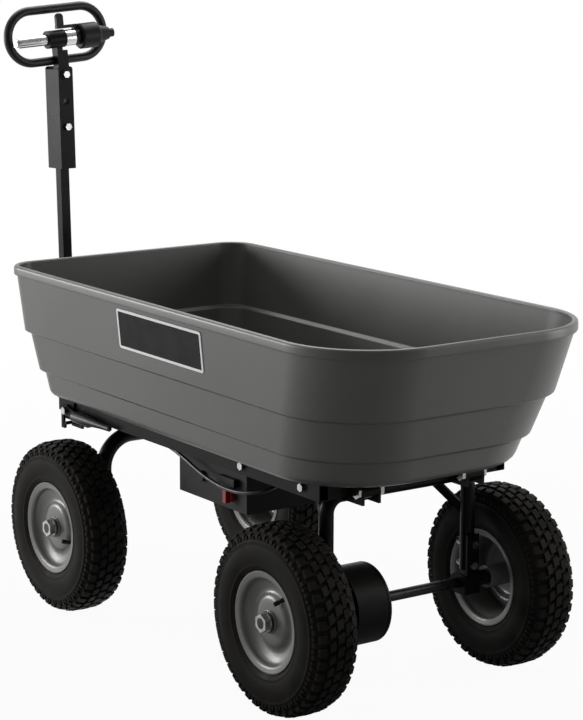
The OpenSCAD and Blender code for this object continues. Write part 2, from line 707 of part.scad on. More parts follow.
module motor_plate() {
  boss_end = leg_x - hanger_in - hanger_t;
  color("black") in_cart() translate([0, rear_y, axle_z]) difference() {
    union() {
      rod_x(motor_d, motor_x, motor_x + motor_plate_t, $fn = 96);
      rod_x(sleeve_d + 20, motor_x, boss_end);
    }
    rod_x(sleeve_d + 2 * air, motor_x - overrun, boss_end + overrun);
    at_motor_bolts() rod_x(motor_bolt_d + 2 * seat, motor_x - overrun, motor_x + motor_plate_t + overrun);
  }
}
module motor_bolts() {
  face = motor_x + motor_plate_t;
  color("silver") in_cart() translate([0, rear_y, axle_z]) at_motor_bolts() {
    rod_x(motor_bolt_d, motor_x - 18, face);
    rod_x(1.7 * motor_bolt_d, face, face + 5);
  }
}

// Battery box under the left frame rail
box_left = rail_x + rail_w + 15;
box_right = box_left - box_w;
box_front = -130;
box_rear = box_front + box_l;
box_lid_t = 2.5;
box_wall = 2.5;
box_top = rail_z - box_lid_t;
box_z = box_top - box_h;
key_y = box_front + 173;
key_z = box_z + 27.5;
key_d = 12;
lead_in_x = box_right + 102;
lead_in_z = box_top - 6;
module battery_box() {
  color([0.15, 0.15, 0.15]) in_cart() difference() {
    block([box_right, box_front, box_z], [box_left, box_rear, box_top]);
    block([box_right + box_wall, box_front + box_wall, box_z + box_wall],
          [box_left - box_wall, box_rear - box_wall, box_top + overrun]);
    translate([0, key_y, key_z]) rod_x(key_d + 2 * run, box_left - 2 * box_wall, box_left + overrun);
  }
}
module battery_box_lid() {
  color([0.15, 0.15, 0.15]) in_cart() block([box_right, box_front, box_top], [box_left, box_rear, rail_z]);
}
module battery_pack() {
  edge = box_wall + 1;
  color([0.2, 0.2, 0.22]) in_cart()
    block([box_right + edge, box_front + edge, box_z + box_wall],
          [box_left - 14, box_front + 0.6 * box_l, box_top - 8]);
}
module motor_controller() {
  fin_n = 7;
  low = [box_right + 20, box_front + 0.66 * box_l, box_z + box_wall];
  high = [box_left - 30, box_rear - 12, box_z + 28];
  pitch = (high.x - low.x) / fin_n;
  color("lightgray") in_cart() {
    block(low, high);
    for (i = [0:fin_n - 1]) translate([low.x + pitch * (i + 0.25), low.y, high.z])
      cube([pitch / 2, high.y - low.y, 12]);
  }
}
// A latched plug over the key, and a round charging socket further forward
module box_connector() {
  socket_d = 20;
  socket_y = box_front + 79;
  color([0.08, 0.08, 0.08]) in_cart() {
    block([box_left, key_y - 29, box_top - 26], [box_left + 11, key_y + 22, box_top - 12]);
    block([box_left, key_y - 22, box_top - 30], [box_left + 8, key_y + 15, box_top - 26]);
    translate([0, socket_y, box_top - 29]) rod_x(socket_d, box_left, box_left + 7);
  }
}
// Red isolator key: a shaft in the box wall, a round skirt and a grip bar
module isolator_key() {
  color("firebrick") in_cart() translate([0, key_y, key_z]) {
    rod_x(key_d, box_left - box_wall - 2, box_left + 2);
    rod_x(26, box_left + air, box_left + 8);
    block([box_left + 8, -5, -13], [box_left + 17, 5, 13]);
  }
}

// Throttle lead between the front crossbar and the box, hung in a slack loop
gland_l = 14;
gland_d = 12;
lead_start = [box_left, front_y + crossbar_w / 2 + gland_l, rail_z + 9];
lead_end = [lead_in_x, box_rear + gland_l, lead_in_z];
lead_route = [
  lead_start, [152, -330, 364], [156, -280, 364.5], [160, -230, 364.5], [164, -180, 363.5],
  [167, -130, 360], [170, -80, 350], [172, -30, 337], [172, 20, 327], [170, 65, 323], [166, 100, 325],
  [156, 128, 330], [138, 143, 336], [118, 141, 341], [106, 126, 345], lead_end
];
// Point on a smooth curve through b and c, where a and d are the points before and after
function smooth_point(a, b, c, d, t) = 0.5 * (2 * b + (c - a) * t
  + (2 * a - 5 * b + 4 * c - d) * t * t + (3 * b - a - 3 * c + d) * t * t * t);
function route_at(i) = lead_route[max(0, min(len(lead_route) - 1, i))];
lead_line = concat(
  [for (i = [0:len(lead_route) - 2], t = [0, 0.5])
    smooth_point(route_at(i - 1), route_at(i), route_at(i + 1), route_at(i + 2), t)],
  [lead_end]);
function lead_heading(i) = i == 0 ? [0, 1, 0] : i == len(lead_line) - 1 ? [0, -1, 0]
  : lead_line[i + 1] - lead_line[i - 1];
function unit(v) = v / norm(v);
lead_sides = 8;
lead_rings = [for (i = [0:len(lead_line) - 1]) let (
  ahead = unit(lead_heading(i)), side = unit(cross(ahead, [0, 0, 1])), up = cross(side, ahead))
  [for (k = [0:lead_sides - 1]) let (a = -360 * k / lead_sides)
    lead_line[i] + lead_d / 2 * (cos(a) * side + sin(a) * up)]];
module throttle_lead() { color([0.05, 0.05, 0.05]) in_cart() skin(lead_rings); }
module lead_glands() {
  color([0.08, 0.08, 0.08]) in_cart() {
    translate([lead_start.x, 0, lead_start.z]) rod_y(gland_d, lead_start.y - gland_l, lead_start.y);
    translate([lead_end.x, 0, lead_end.z]) rod_y(gland_d, lead_end.y - gland_l, lead_end.y);
  }
}

// Front axle: an arched tube that steers on the kingpin, with a drawbar to the handle
front_bend = 62;
front_leg_foot = axle_z - 24;
module front_arch() {
  color("black") in_cart() difference() {
    arch(front_tube_d, leg_x, front_arch_z, front_bend, front_leg_foot, front_y);
    translate([0, front_y, front_arch_z]) rod_z(kingpin_d + 2 * run, -front_tube_d, front_tube_d);
    translate([0, front_y, axle_z]) rod_x(axle_d + 2 * seat, -leg_x - front_tube_d, leg_x + front_tube_d);
  }
}
module steering_plate() {
  color("black") in_cart() translate([0, front_y, 0]) difference() {
    block([-60, -75, front_arch_top], [60, 40, front_arch_top + plate_h]);
    rod_z(kingpin_d + 2 * run, front_arch_top - overrun, front_arch_top + plate_h + overrun);
  }
}
yoke_t = 5;
yoke_pin_d = 12;
module drawbar() {
  half = tongue_w / 2;
  tip = handle_y + 26;
  ear_r = tongue_w / 2 + 1;
  color("black") in_cart() difference() {
    union() {
      box_tube_y([-half, tip, handle_z - 15], [half, front_y, front_arch_top]);
      both_sides() {
        block([half, handle_y, handle_z - ear_r], [half + yoke_t, tip + 40, handle_z + ear_r]);
        translate([0, handle_y, handle_z]) rod_x(2 * ear_r, half, half + yoke_t);
      }
    }
    translate([0, front_y, front_arch_z]) rod_x(front_tube_d + 2 * seat, -50, 50);
    translate([0, front_y, front_arch_z]) rod_z(kingpin_d + 2 * run, -front_tube_d, front_tube_d);
    translate([0, handle_y, handle_z]) rod_x(yoke_pin_d + 2 * seat, -50, 50);
  }
}
module yoke_pin() {
  end = tongue_w / 2 + yoke_t;
  color("silver") in_cart() translate([0, handle_y, handle_z]) {
    rod_x(yoke_pin_d, -end, end);
    both_sides() hex_x(1.5 * yoke_pin_d, end, end + 7);
  }
}

// Handle, drawn upright about its pivot and leaned forward
clevis_gap = clevis_d / 2 - plate_t;
clevis_low = rod_l - clevis_l;
clevis_corner = 6;
head_top = rod_l - 97;
low_bolt_z = rod_l - 123;
hitch_hole_z = rod_l - 71;
module on_handle() {
  in_cart() translate([0, handle_y, handle_z]) rotate([handle_lean, 0, 0]) children();
}
module pull_rod() {
  eye_d = tongue_w - 4;
  half = rod_w / 2;
  head_half = clevis_w / 2 - plate_t - seat;
  color("black") on_handle() difference() {
    union() {
      rod_x(eye_d, -tongue_w / 2 + 0.3, tongue_w / 2 - 0.3);
      block([-half, -half, 4], [half, half, clevis_low + 10]);
      block([-head_half, -clevis_gap, clevis_low + 6], [head_half, clevis_gap, head_top]);
    }
    rod_x(yoke_pin_d + 2 * run, -tongue_w, tongue_w);
    block([tube_wall - half, tube_wall - half, eye_d / 2 + 4],
          [half - tube_wall, half - tube_wall, clevis_low]);
    translate([0, 0, low_bolt_z]) rod_y(bolt_d + 2 * seat, -clevis_d, clevis_d);
  }
}
// A clevis plate with rounded top corners, standing on the XZ plane
module clevis_plate() {
  half = clevis_w / 2;
  corner_r = clevis_corner;
  translate([0, plate_t, 0]) rotate([90, 0, 0]) linear_extrude(plate_t) union() {
    translate([-half, clevis_low]) square([clevis_w, clevis_l - corner_r]);
    translate([-half + corner_r, clevis_low]) square([clevis_w - 2 * corner_r, clevis_l]);
    for (x = [-half + corner_r, half - corner_r]) translate([x, rod_l - corner_r]) circle(r = corner_r);
  }
}
// The two plates are joined to a box, whose right wall ends low so that the grip can fold over it
module hitch_clevis() {
  half = clevis_w / 2;
  fold_top = top_bolt_z - post_half - air;
  color("black") on_handle() difference() {
    union() {
      for (y = [-clevis_d / 2, clevis_gap]) translate([0, y, 0]) clevis_plate();
      block([half - plate_t, -clevis_gap, clevis_low], [half, clevis_gap, rod_l - clevis_corner]);
      block([-half, -clevis_gap, clevis_low], [plate_t - half, clevis_gap, fold_top]);
    }
    for (z = [low_bolt_z, top_bolt_z]) translate([0, 0, z]) rod_y(bolt_d + 2 * seat, -clevis_d, clevis_d);
    translate([0, 0, hitch_hole_z]) rod_y(hitch_hole_d, -clevis_d, clevis_d);
  }
}
module clevis_bolts() {
  half = clevis_d / 2;
  color("silver") on_handle() for (z = [low_bolt_z, top_bolt_z]) translate([0, 0, z]) {
    rod_y(bolt_d, -half, half);
    hex_y(bolt_head_d, half, half + bolt_head_h);
    hex_y(bolt_head_d, -half - clevis_nut_h, -half);
  }
}

// Loop grip and thumb throttle on a post that pivots in the top of the clevis
post_half = 12;
post_front = 2;
loop_y = 3;
loop_low_z = rod_l + loop_tube_d / 2 + 4;
loop_top_z = loop_low_z + loop_h - loop_tube_d;
bar_y = 30;
bar_z = loop_low_z + 45;
sleeve_wall = 7;
sleeve_x0 = -1;
sleeve_x1 = 38;
module on_grip() {
  on_handle() translate([0, 0, top_bolt_z]) rotate([0, grip_turn, 0])
    translate([0, 0, -top_bolt_z]) children();
}
module at_bar() { translate([0, bar_y, bar_z]) children(); }
module grip_post() {
  depth = clevis_gap - 0.25;
  neck_z = loop_low_z + 20;
  color("black") on_grip() difference() {
    union() {
      translate([0, 0, top_bolt_z]) rod_y(2 * post_half, post_front, depth);
      block([-post_half, post_front, top_bolt_z], [post_half, depth, neck_z]);
      block([sleeve_x0, post_front, neck_z - overrun], [post_half, depth, bar_z]);
      at_bar() rod_x(bar_d + 2 * sleeve_wall, sleeve_x0, sleeve_x1);
    }
    translate([0, 0, top_bolt_z]) rod_y(bolt_d + 2 * run, -clevis_d, clevis_d);
    translate([0, loop_y, loop_low_z]) rod_x(loop_tube_d + 2 * seat, -50, 50);
    at_bar() rod_x(bar_d + 2 * seat, sleeve_x0 - overrun, sleeve_x1 + overrun);
  }
}
module loop_grip() {
  r = (loop_h - loop_tube_d) / 2;
  straight = (loop_w - loop_h) / 2;
  color([0.1, 0.1, 0.1]) on_grip() translate([0, loop_y, (loop_low_z + loop_top_z) / 2]) {
    for (z = [-r, r]) translate([0, 0, z]) rod_x(loop_tube_d, -straight, straight);
    both_sides() translate([straight, 0, 0]) rotate([90, 0, 0]) rotate([0, 0, -90])
      rotate_extrude(angle = 180) translate([r, 0]) circle(d = loop_tube_d);
  }
}
clamp_x = [-24, -2];
lever_x = [-36, -25];
drum_x = [-82, -37];
module throttle_bar() {
  end = 110;
  nose = 4;
  color("silver") on_grip() at_bar() {
    rod_x(bar_d, drum_x[0], end - nose);
    rod_x(bar_d - 4, end - nose, end);
    difference() {
      rod_x(bar_d + 11, clamp_x[0], clamp_x[1]);
      rod_x(bar_d, clamp_x[0] - overrun, clamp_x[1] + overrun);
    }
  }
}
// Throttle housing: a drum, a bell and a stub behind it
module throttle_body() {
  r = throttle_d / 2;
  bell = 24;
  stub = 12;
  l = drum_x[1] - drum_x[0];
  color([0.08, 0.08, 0.08]) on_grip() at_bar() difference() {
    translate([drum_x[1], 0, 0]) rotate([0, -90, 0]) rotate_extrude()
      polygon([[0, 0], [r - 3, 0], [r, 3], [r, l - 6], [r - 6, l], [19, l], [13, l + bell], [9, l + bell],
               [9, l + bell + stub], [0, l + bell + stub]]);
    rod_x(bar_d + 2 * seat, drum_x[0], drum_x[1] + overrun);
  }
}
module throttle_lever() {
  hub_r = bar_d / 2 + 5;
  arm_low = bar_d / 2 + sleeve_wall + 2;
  arm_high = arm_low + 6;
  paddle_top = arm_high + 17;
  paddle = [-3, 13];
  color([0.08, 0.08, 0.08]) on_grip() at_bar() difference() {
    union() {
      rod_x(2 * hub_r, lever_x[0], lever_x[1]);
      block([lever_x[0], -5, 0], [lever_x[1], 5, arm_high]);
      block([lever_x[0], -5, arm_low], [paddle[1], 5, arm_high]);
      block([paddle[0], -4, arm_low], [paddle[1], 4, paddle_top]);
      translate([(paddle[0] + paddle[1]) / 2, 0, paddle_top]) rod_y(paddle[1] - paddle[0], -4, 4);
    }
    rod_x(bar_d + 2 * run, lever_x[0] - overrun, lever_x[1] + overrun);
  }
}

tub();
bed_rails();
bed_crossbars();
hinge_lugs();
bed_bolts();
floor_bolts();
bed_brackets();
latch_lever();
latch_grip();
chassis_rails();
front_crossbar();
mid_crossbar();
kingpin();
latch_keeper();
rear_arch();
rear_braces();
axle_hangers();
hanger_bolts();
hinge_brackets();
hinge_pins();
rear_axle();
rear_axle_nuts();
motor_housing();
motor_plate();
motor_bolts();
battery_box();
battery_box_lid();
battery_pack();
motor_controller();
box_connector();
isolator_key();
lead_glands();
throttle_lead();
front_arch();
steering_plate();
drawbar();
yoke_pin();
front_stub_axles();
front_axle_nuts();
tyre_fl();
tyre_fr();
tyre_rl();
tyre_rr();
rim_fl();
rim_fr();
rim_rl();
rim_rr();
bearings_fl();
bearings_fr();
bearings_rl();
bearings_rr();
drive_sleeve();
pull_rod();
hitch_clevis();
clevis_bolts();
grip_post();
loop_grip();
throttle_bar();
throttle_body();
throttle_lever();
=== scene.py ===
# %% [markdown]
# # A powered dump cart, dressed in Blender
# The imported solids are the fixed frame: every piece below sits on them, in metres, with the origin on
# the ground under the cart's middle, +Y to the tail, +X to the cart's left and +Z up. A small helper
# reads the box of any of its solids, and the dressed pieces take their sizes and places from these boxes.

# %% Load the imported frame
import json
import math
import bmesh
import bpy
from mathutils import Matrix, Vector


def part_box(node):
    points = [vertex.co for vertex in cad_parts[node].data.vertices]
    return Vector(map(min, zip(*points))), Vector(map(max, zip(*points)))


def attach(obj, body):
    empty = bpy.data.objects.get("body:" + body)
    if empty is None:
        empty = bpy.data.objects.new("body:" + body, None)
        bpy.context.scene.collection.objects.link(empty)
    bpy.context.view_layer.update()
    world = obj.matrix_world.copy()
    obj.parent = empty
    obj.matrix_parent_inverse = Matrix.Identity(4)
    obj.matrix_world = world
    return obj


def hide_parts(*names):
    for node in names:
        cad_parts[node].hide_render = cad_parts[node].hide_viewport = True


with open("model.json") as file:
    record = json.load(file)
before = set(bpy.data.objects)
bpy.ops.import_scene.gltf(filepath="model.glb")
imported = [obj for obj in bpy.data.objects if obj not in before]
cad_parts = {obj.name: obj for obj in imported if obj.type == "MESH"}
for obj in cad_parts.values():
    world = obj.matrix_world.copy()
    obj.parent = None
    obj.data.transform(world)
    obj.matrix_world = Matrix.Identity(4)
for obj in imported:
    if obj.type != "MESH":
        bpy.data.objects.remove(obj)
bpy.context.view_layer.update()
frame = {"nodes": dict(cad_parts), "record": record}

MM = 0.001

# %% [markdown]
# ## Camera
# The photograph is taken from the left rear with a long lens. A camera can be aimed with a constraint,
# but plain angles say more: we turn an azimuth, an elevation and a small roll into the three axes of the
# camera's matrix. The rear axle gives the place of the aim along the cart, so the camera follows the
# frame.

# %% Aim the camera
AZIMUTH, ELEVATION, ROLL = map(math.radians, (144.8, 11.35, 0.2))
DISTANCE, FOCAL_PX, FRAME_H_PX = 4.320, 2372.0, 720.0
SENSOR_MM, FAR_CLIP = 36, 60
AIM_X, AIM_Z = -0.0096, 0.527
REAR_AXLE_Y = 0.327


def middle(node):
    low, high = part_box(node)
    return (Vector(low) + Vector(high)) / 2


SHIFT = middle("rim_rl").y - REAR_AXLE_Y
aim = Vector((AIM_X, SHIFT, AIM_Z))
back = Vector((math.sin(AZIMUTH) * math.cos(ELEVATION), -math.cos(AZIMUTH) * math.cos(ELEVATION),
               math.sin(ELEVATION)))
level = (-back).cross(Vector((0, 0, 1))).normalized()
upright = level.cross(-back)
right = level * math.cos(ROLL) + upright * math.sin(ROLL)
up = upright * math.cos(ROLL) - level * math.sin(ROLL)

camera_data = bpy.data.cameras.new("camera")
camera_data.sensor_width = SENSOR_MM
camera_data.lens = FOCAL_PX / FRAME_H_PX * SENSOR_MM
camera_data.clip_end = FAR_CLIP
camera = bpy.data.objects.new("camera", camera_data)
camera.matrix_world = Matrix((right, up, back)).transposed().to_4x4()
camera.location = aim + back * DISTANCE
bpy.context.scene.collection.objects.link(camera)
bpy.context.scene.camera = camera
print("camera at", [round(v, 3) for v in camera.location], "lens", round(camera_data.lens, 1), "mm")

# %% [markdown]
# ## Shared surface effects
# Every finish on the cart is a little uneven, and a few effects do most of the work: a fine grain for
# moulded plastic and paint, a cloudy change of tone, and dust that settles on what faces up. Copying the
# same nodes into each material would work, but a node group is built once and gets its own numbers in
# each material.


# %% Helpers for node trees
def new_group(name, inputs, outputs):
    group = bpy.data.node_groups.new(name, "ShaderNodeTree")
    for label, value in inputs:
        socket = group.interface.new_socket(label, in_out="INPUT", socket_type="NodeSocketFloat")
        socket.default_value = value
    for label in outputs:
        group.interface.new_socket(label, in_out="OUTPUT", socket_type="NodeSocketFloat")
    return group, group.nodes.new("NodeGroupInput"), group.nodes.new("NodeGroupOutput")


def add_node(tree, kind, **settings):
    node = tree.nodes.new(kind)
    for key, value in settings.items():
        if key in node.inputs:
            node.inputs[key].default_value = value
        else:
            setattr(node, key, value)
    return node


def add_math(tree, operation, a, b, clamp=False):
    node = tree.nodes.new("ShaderNodeMath")
    node.operation, node.use_clamp = operation, clamp
    for socket, value in zip(node.inputs, (a, b)):
        if isinstance(value, (int, float)):
            socket.default_value = value
        else:
            tree.links.new(value, socket)
    return node.outputs[0]


def add_ramp(tree, factor, low, high):
    node = add_node(tree, "ShaderNodeMapRange", clamp=True)
    tree.links.new(factor, node.inputs["Value"])
    node.inputs["From Min"].default_value, node.inputs["From Max"].default_value = low, high
    return node.outputs["Result"]


print("node helpers ready")

# %% Grain, clouding and dust groups
grain, grain_in, grain_out = new_group("moulded grain", [("Scale", 900), ("Coarse Share", 0.35)], ["Height"])
place = add_node(grain, "ShaderNodeTexCoord").outputs["Object"]
fine = add_node(grain, "ShaderNodeTexNoise", Detail=3, Roughness=0.6)
coarse = add_node(grain, "ShaderNodeTexVoronoi")
for texture in (fine, coarse):
    grain.links.new(place, texture.inputs["Vector"])
    grain.links.new(grain_in.outputs["Scale"], texture.inputs["Scale"])
pits = add_math(grain, "MULTIPLY", coarse.outputs["Distance"], grain_in.outputs["Coarse Share"])
height = add_math(grain, "ADD", fine.outputs["Fac"], pits)
grain.links.new(height, grain_out.inputs["Height"])

cloud, cloud_in, cloud_out = new_group("cloudy tone", [("Scale", 9), ("Low", 0.35), ("High", 0.65)],
                                       ["Mask"])
place = add_node(cloud, "ShaderNodeTexCoord").outputs["Object"]
billow = add_node(cloud, "ShaderNodeTexNoise", Detail=5, Roughness=0.55, Distortion=0.3)
cloud.links.new(place, billow.inputs["Vector"])
cloud.links.new(cloud_in.outputs["Scale"], billow.inputs["Scale"])
spread = add_node(cloud, "ShaderNodeMapRange", clamp=True)
cloud.links.new(billow.outputs["Fac"], spread.inputs["Value"])
cloud.links.new(cloud_in.outputs["Low"], spread.inputs["From Min"])
cloud.links.new(cloud_in.outputs["High"], spread.inputs["From Max"])
cloud.links.new(spread.outputs["Result"], cloud_out.inputs["Mask"])

dust, dust_in, dust_out = new_group("settled dust", [("Scale", 40), ("Amount", 0.5)], ["Mask"])
place = add_node(dust, "ShaderNodeTexCoord").outputs["Object"]
facing = add_node(dust, "ShaderNodeSeparateXYZ")
dust.links.new(add_node(dust, "ShaderNodeNewGeometry").outputs["Normal"], facing.inputs[0])
powder = add_node(dust, "ShaderNodeTexNoise", Detail=6, Roughness=0.7)
dust.links.new(place, powder.inputs["Vector"])
dust.links.new(dust_in.outputs["Scale"], powder.inputs["Scale"])
upward = add_ramp(dust, facing.outputs["Z"], 0.1, 0.95)
patchy = add_math(dust, "MULTIPLY", upward, add_ramp(dust, powder.outputs["Fac"], 0.35, 0.75))
dust.links.new(add_math(dust, "MULTIPLY", patchy, dust_in.outputs["Amount"], True), dust_out.inputs["Mask"])
print("groups", [g.name for g in (grain, cloud, dust)])

# %% [markdown]
# ## Finishes
# One function builds every finish from the same plan: two tones mixed by the clouding, dust over them,
# roughness that follows the clouding, and the grain as a bump. What is the same all over, such as metal
# or coat, is set on the shader's own sockets, and only what changes over the surface is wired.


# %% Plan of a finish
def add_group(tree, group, **values):
    node = tree.nodes.new("ShaderNodeGroup")
    node.node_tree = group
    for key, value in values.items():
        node.inputs[key.replace("_", " ")].default_value = value
    return node


def mix_colour(tree, factor, a, b):
    node = add_node(tree, "ShaderNodeMix", data_type="RGBA")
    tree.links.new(factor, node.inputs["Factor"])
    colour_a, colour_b = [s for s in node.inputs if s.type == "RGBA"]
    for socket, value in ((colour_a, a), (colour_b, b)):
        if isinstance(value, tuple):
            socket.default_value = (*value, 1)
        else:
            tree.links.new(value, socket)
    return [s for s in node.outputs if s.type == "RGBA"][0]


DUST_TONE = (0.32, 0.28, 0.22)
BUMP_DEPTH = 0.3 * MM


def finish_material(name, tone, dark_tone, rough, rough_spread=0.12, grain_scale=900, bump=0.1,
                    cloud_scale=9, dust_amount=0.0, **shader_values):
    material = bpy.data.materials.new(name)
    material.use_nodes = True
    tree = material.node_tree
    shader = tree.nodes["Principled BSDF"]
    clouding = add_group(tree, cloud, Scale=cloud_scale).outputs["Mask"]
    pitting = add_group(tree, grain, Scale=grain_scale)
    colour = mix_colour(tree, clouding, dark_tone, tone)
    if dust_amount:
        settled = add_group(tree, dust, Amount=dust_amount).outputs["Mask"]
        colour = mix_colour(tree, settled, colour, DUST_TONE)
    tree.links.new(colour, shader.inputs["Base Color"])
    uneven = add_math(tree, "MULTIPLY", clouding, rough_spread)
    roughness = add_math(tree, "ADD", uneven, rough - rough_spread / 2, True)
    tree.links.new(roughness, shader.inputs["Roughness"])
    relief = add_node(tree, "ShaderNodeBump", Strength=bump, Distance=BUMP_DEPTH)
    tree.links.new(pitting.outputs["Height"], relief.inputs["Height"])
    tree.links.new(relief.outputs["Normal"], shader.inputs["Normal"])
    for key, value in shader_values.items():
        shader.inputs[key.replace("_", " ")].default_value = value
    return material


print("finish plan ready")

# %% Mix the finishes and put them on the solids
finishes = {
    "tub_poly": finish_material(
        "charcoal moulded plastic", (0.104, 0.106, 0.099), (0.092, 0.094, 0.088), 0.38,
        rough_spread=0.06, grain_scale=1400, bump=0.10, cloud_scale=5, dust_amount=0.05),
    "frame_black": finish_material(
        "gloss black powder coat", (0.008, 0.0075, 0.007), (0.005, 0.005, 0.005), 0.32,
        grain_scale=420, bump=0.08, cloud_scale=14, dust_amount=0.02, Specular_IOR_Level=0.09),
    "zinc": finish_material(
        "bright zinc plate", (0.58, 0.58, 0.56), (0.40, 0.40, 0.39), 0.26,
        grain_scale=1600, cloud_scale=60, Metallic=1.0),
    "rim_grey": finish_material(
        "grey rim paint", (0.150, 0.153, 0.146), (0.130, 0.133, 0.127), 0.36,
        grain_scale=500, bump=0.06, cloud_scale=18, dust_amount=0.05, Coat_Weight=0.15, Coat_Roughness=0.16),
    "tyre_black": finish_material(
        "tyre rubber", (0.016, 0.0145, 0.013), (0.008, 0.0075, 0.007), 0.55,
        rough_spread=0.2, grain_scale=700, bump=0.25, cloud_scale=24, dust_amount=0.04,
        Specular_IOR_Level=0.05),
    "black_plastic": finish_material(
        "black moulded plastic", (0.013, 0.012, 0.011), (0.008, 0.0075, 0.007), 0.5,
        grain_scale=1100, bump=0.2, cloud_scale=20, dust_amount=0.03, Specular_IOR_Level=0.2),
    "grip_rubber": finish_material(
        "soft grip", (0.010, 0.010, 0.010), (0.006, 0.006, 0.006), 0.42,
        grain_scale=1300, bump=0.2, cloud_scale=30, Specular_IOR_Level=0.3),
    "chrome": finish_material(
        "polished chrome", (0.70, 0.70, 0.70), (0.58, 0.58, 0.58), 0.14,
        rough_spread=0.06, grain_scale=1800, bump=0.02, cloud_scale=40, Metallic=1.0),
    "bare_steel": finish_material(
        "oiled black steel", (0.030, 0.028, 0.027), (0.014, 0.014, 0.014), 0.30,
        grain_scale=900, cloud_scale=40, Metallic=0.5),
    "battery_grey": finish_material("battery case", (0.06, 0.06, 0.065), (0.045, 0.045, 0.05), 0.5),
    "cast_aluminium": finish_material(
        "cast aluminium", (0.58, 0.58, 0.58), (0.45, 0.45, 0.45), 0.45,
        bump=0.2, cloud_scale=50, Metallic=1.0),
    "red_plastic": finish_material(
        "red moulded plastic", (0.30, 0.014, 0.012), (0.20, 0.009, 0.008), 0.35, cloud_scale=60),
    "lead_jacket": finish_material(
        "lead jacket", (0.010, 0.010, 0.010), (0.006, 0.006, 0.006), 0.4, grain_scale=1500, cloud_scale=50),
}
slot_of = {part["node"]: part["material_slot"] for part in frame["record"]["subparts"]}
for node, piece in frame["nodes"].items():
    piece.data.materials.clear()
    piece.data.materials.append(finishes[slot_of[node]])
print(len(finishes), "finishes on", len(slot_of), "solids")

# %% [markdown]
# ## The throttle lead
# A thin black lead leaves a gland at the front crossbar, sags along the battery box and turns back into
# the box's rear face. A cord is a curve with a round bevel: the points are the route of its solid, and
# automatic handles pass one smooth line through them.

# %% Lay the lead
LEAD_D = 0.007
lead_route = [(150, -369, 363), (152, -330, 364), (156, -280, 364.5), (160, -230, 364.5),
              (164, -180, 363.5), (167, -130, 360), (170, -80, 350), (172, -30, 337),
              (172, 20, 327), (170, 65, 323), (166, 100, 325), (156, 128, 330),
              (138, 143, 336), (118, 141, 341), (106, 126, 345), (102, 104, 345.5)]
lead_points = [Vector((x * MM, y * MM + SHIFT, z * MM)) for x, y, z in lead_route]
lead_curve = bpy.data.curves.new("lead", "CURVE")
lead_curve.dimensions = "3D"
lead_curve.bevel_depth = LEAD_D / 2
lead_curve.bevel_resolution = 5
lead_curve.resolution_u = 8
lead_curve.use_fill_caps = True
spline = lead_curve.splines.new("BEZIER")
spline.bezier_points.add(len(lead_points) - 1)
for knot, point in zip(spline.bezier_points, lead_points):
    knot.co = point
    knot.handle_left_type = knot.handle_right_type = "AUTO"
lead = bpy.data.objects.new("lead", lead_curve)
lead.data.materials.append(finishes["lead_jacket"])
bpy.context.scene.collection.objects.link(lead)
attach(lead, "chassis")
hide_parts("throttle_lead")

# %% [markdown]
# ## The tub
# The tub is one moulding: walls that lean in, two steps, a round-edged lip, large rear corners and sides
# that flare a little to the tail. It could be a subdivided cage, but then the corner radii drift, so we
# stack its sections instead: each section is a four-cornered face whose corners are bevelled to their
# radius, and neighbouring sections are bridged. Going up the outside, over the lip and down the inside
# gives the wall its real thickness.


# %% Helpers for meshes
def place_piece(name, bm, body, slot, *nodes, sharp=math.radians(38), materials=()):
    bmesh.ops.remove_doubles(bm, verts=bm.verts, dist=1e-6)
    for face in bm.faces:
        face.smooth = True
    for edge in bm.edges:
        edge.smooth = not (len(edge.link_faces) == 2 and edge.calc_face_angle(0) > sharp)
    mesh = bpy.data.meshes.new(name)
    bm.to_mesh(mesh)
    bm.free()
    piece = bpy.data.objects.new(name, mesh)
    for material in materials or (finishes[slot],):
        mesh.materials.append(material)
    bpy.context.scene.collection.objects.link(piece)
    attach(piece, body)
    if nodes:
        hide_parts(*nodes)
    print(name, len(mesh.polygons), "faces")
    return piece


def flared_section(bm, front_half, rear_half, front, rear, front_r, rear_r, z, segments=12):
    corners = [bm.verts.new(p) for p in ((rear_half, rear, z), (-rear_half, rear, z),
                                         (-front_half, front, z), (front_half, front, z))]
    bm.faces.new(corners)
    lean = math.atan2(rear_half - front_half, rear - front)
    for pair, radius, opening in ((corners[:2], rear_r, -lean), (corners[2:], front_r, lean)):
        cut_back = radius / math.tan(math.pi / 4 + opening / 2)
        bmesh.ops.bevel(bm, geom=pair, offset=cut_back, offset_type="OFFSET", segments=segments,
                        profile=0.5, affect="VERTICES", material=-1, clamp_overlap=False)
    bm.faces.ensure_lookup_table()
    face = bm.faces[-1]
    return face, list(face.edges)


print("mesh helpers ready")

# %% Sizes of the tub
LIP_OUT, LIP_H, WALL, FOOT_R, STEP_RISE = 6 * MM, 22 * MM, 5 * MM, 14 * MM, 7 * MM
FRONT_R, REAR_R, FLARE = 58 * MM, 165 * MM, 15 * MM
STEPS = (46 * MM, 122 * MM)
LIP_TUCK = 2.6 * MM
FOOT_SEGMENTS = 4
DRAFT = {"side": (0.10, 0.16), "front": (0.08, 0.16), "rear": (0.32, 0.39)}
LEDGE = {"side": 7.5 * MM, "front": 8 * MM, "rear": 7 * MM}
tub_low, tub_high = (Vector(c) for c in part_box("tub"))
tub_depth = tub_high.z - tub_low.z
wall_top = tub_depth - LIP_H
upper_band = STEPS[1] + STEP_RISE
slant = FLARE / (tub_high.y - tub_low.y)
tail_half = tub_high.x + REAR_R * slant


def steps_above(h):
    passed = 0
    for foot in STEPS:
        t = min(max((foot + STEP_RISE - h) / STEP_RISE, 0), 1)
        passed += t * t * (3 - 2 * t)
    return passed


